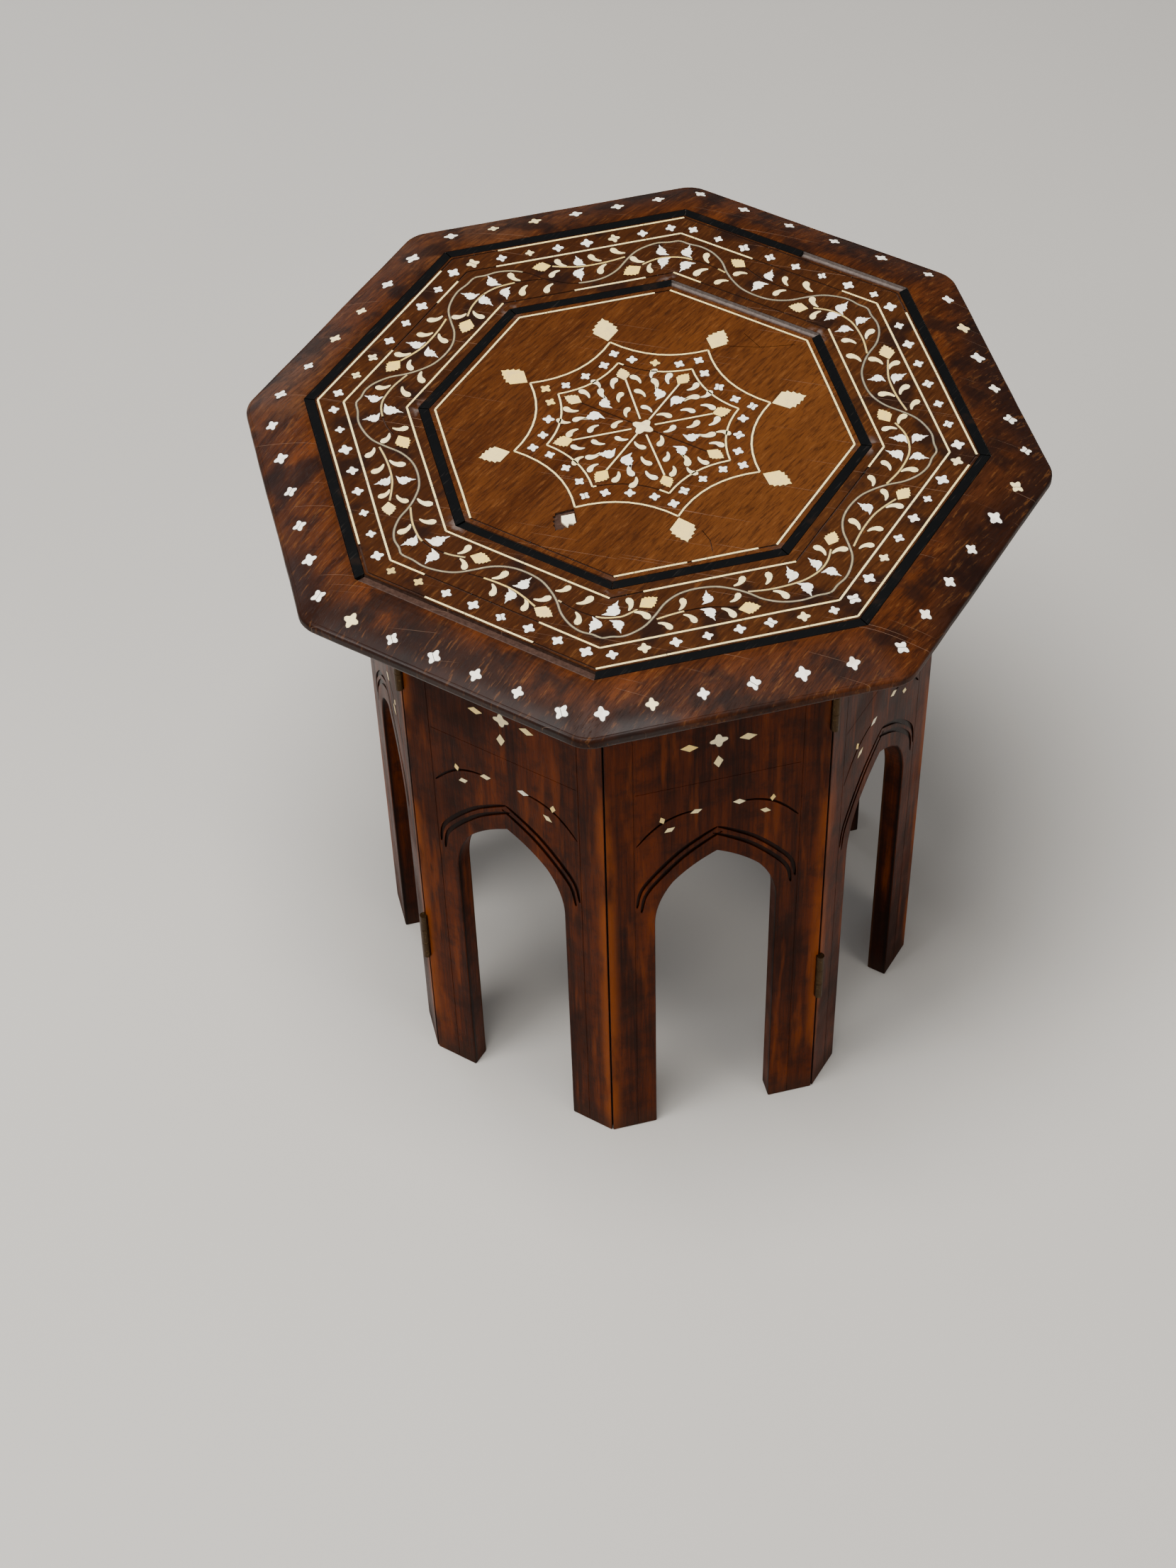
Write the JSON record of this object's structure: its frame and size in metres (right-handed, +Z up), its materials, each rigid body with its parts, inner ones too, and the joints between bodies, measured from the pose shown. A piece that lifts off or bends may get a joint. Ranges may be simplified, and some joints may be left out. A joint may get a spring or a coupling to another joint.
{
  "type": "folding occasional table",
  "caption": "Octagonal inlaid occasional table: a loose wooden top on a hinged ring of arched panels that folds flat.",
  "frame": {"origin": "on the floor, at the middle of the octagonal ring of panels", "axes": "+Z up; -Y out of the front panel; +X towards the right panel"},
  "size_m": [0.4, 0.4, 0.42],
  "materials": {
    "base_wood": "old dark polish, worn reddish at the edges",
    "board_wood": "satin old polish, dark stains near the rim",
    "ebony": "smooth, satin",
    "block_wood": "bare",
    "brass": "tarnished",
    "bone": "polished bone, cream"
  },
  "bodies": {
    "base_front": {"panel_front": "base_wood", "hinge_2_lower_pinned_leaf": "brass", "hinge_2_upper_pinned_leaf": "brass", "hinge_3_lower_pinned_leaf": "brass", "hinge_3_upper_pinned_leaf": "brass"},
    "base_front_left": {"panel_front_left": "base_wood", "hinge_1_lower_plain_leaf": "brass", "hinge_1_upper_plain_leaf": "brass", "hinge_2_lower_plain_leaf": "brass", "hinge_2_upper_plain_leaf": "brass"},
    "base_front_right": {"panel_front_right": "base_wood", "hinge_3_lower_plain_leaf": "brass", "hinge_3_upper_plain_leaf": "brass", "hinge_4_lower_plain_leaf": "brass", "hinge_4_upper_plain_leaf": "brass"},
    "base_right": {"panel_right": "base_wood", "hinge_4_lower_pinned_leaf": "brass", "hinge_4_upper_pinned_leaf": "brass", "hinge_5_lower_pinned_leaf": "brass", "hinge_5_upper_pinned_leaf": "brass"},
    "base_back_right": {"panel_back_right": "base_wood", "hinge_5_lower_plain_leaf": "brass", "hinge_5_upper_plain_leaf": "brass", "hinge_6_lower_plain_leaf": "brass", "hinge_6_upper_plain_leaf": "brass"},
    "base_back": {"panel_back": "base_wood", "hinge_6_lower_pinned_leaf": "brass", "hinge_6_upper_pinned_leaf": "brass", "hinge_7_lower_pinned_leaf": "brass", "hinge_7_upper_pinned_leaf": "brass"},
    "base_back_left": {"panel_back_left": "base_wood", "hinge_7_lower_plain_leaf": "brass", "hinge_7_upper_plain_leaf": "brass", "hinge_8_lower_plain_leaf": "brass", "hinge_8_upper_plain_leaf": "brass"},
    "base_left": {"panel_left": "base_wood", "hinge_1_lower_pinned_leaf": "brass", "hinge_1_upper_pinned_leaf": "brass", "hinge_8_lower_pinned_leaf": "brass", "hinge_8_upper_pinned_leaf": "brass"},
    "top": {"top_board": "board_wood", "ebony_outer_1": "ebony", "ebony_inner_1": "ebony", "ebony_outer_2": "ebony", "ebony_outer_3": "ebony", "ebony_inner_3": "ebony", "ebony_outer_4": "ebony", "ebony_inner_4": "ebony", "ebony_outer_5": "ebony", "ebony_inner_5": "ebony", "ebony_inner_6": "ebony", "ebony_outer_7": "ebony", "ebony_inner_7": "ebony", "ebony_outer_8": "ebony", "ebony_inner_8": "ebony", "locating_block_1": "block_wood", "locating_block_2": "block_wood", "locating_block_3": "block_wood", "locating_block_4": "block_wood"}
  },
  "joints": [
    {"name": "top_lift", "type": "slide", "parent": "base_front", "child": "top", "axis": [0, 0, 1], "range_m": [0, 0.3]},
    {"name": "fold_front_right", "type": "hinge", "parent": "base_front", "child": "base_front_right", "pos_m": [0.06251, -0.1509, 0], "axis": [0, 0, 1], "range_deg": [-41.4, 0]},
    {"name": "fold_right", "type": "hinge", "parent": "base_front_right", "child": "base_right", "pos_m": [0.1371, -0.05679, 0], "axis": [0, 0, 1], "range_deg": [0, 124.2]},
    {"name": "fold_back_right", "type": "hinge", "parent": "base_right", "child": "base_back_right", "pos_m": [0.1509, 0.06251, 0], "axis": [0, 0, 1], "range_deg": [-207, 0]},
    {"name": "fold_back", "type": "hinge", "parent": "base_back_right", "child": "base_back", "pos_m": [0.05679, 0.1371, 0], "axis": [0, 0, 1], "range_deg": [0, 124.2]},
    {"name": "fold_front_left", "type": "hinge", "parent": "base_front", "child": "base_front_left", "pos_m": [-0.05679, -0.1371, 0], "axis": [0, 0, 1], "range_deg": [-124.2, 0]},
    {"name": "fold_left", "type": "hinge", "parent": "base_front_left", "child": "base_left", "pos_m": [-0.1509, -0.06251, 0], "axis": [0, 0, 1], "range_deg": [0, 207]},
    {"name": "fold_back_left", "type": "hinge", "parent": "base_left", "child": "base_back_left", "pos_m": [-0.1371, 0.05679, 0], "axis": [0, 0, 1], "range_deg": [-124.2, 0]}
  ],
  "couplings": [
    {"joint": "fold_front_right", "follows": "top_lift", "rad_per_m": -2.4085},
    {"joint": "fold_right", "follows": "top_lift", "rad_per_m": 7.2257},
    {"joint": "fold_back_right", "follows": "top_lift", "rad_per_m": -12.043},
    {"joint": "fold_back", "follows": "top_lift", "rad_per_m": 7.2257},
    {"joint": "fold_front_left", "follows": "top_lift", "rad_per_m": -7.2257},
    {"joint": "fold_left", "follows": "top_lift", "rad_per_m": 12.043},
    {"joint": "fold_back_left", "follows": "top_lift", "rad_per_m": -7.2257}
  ]
}
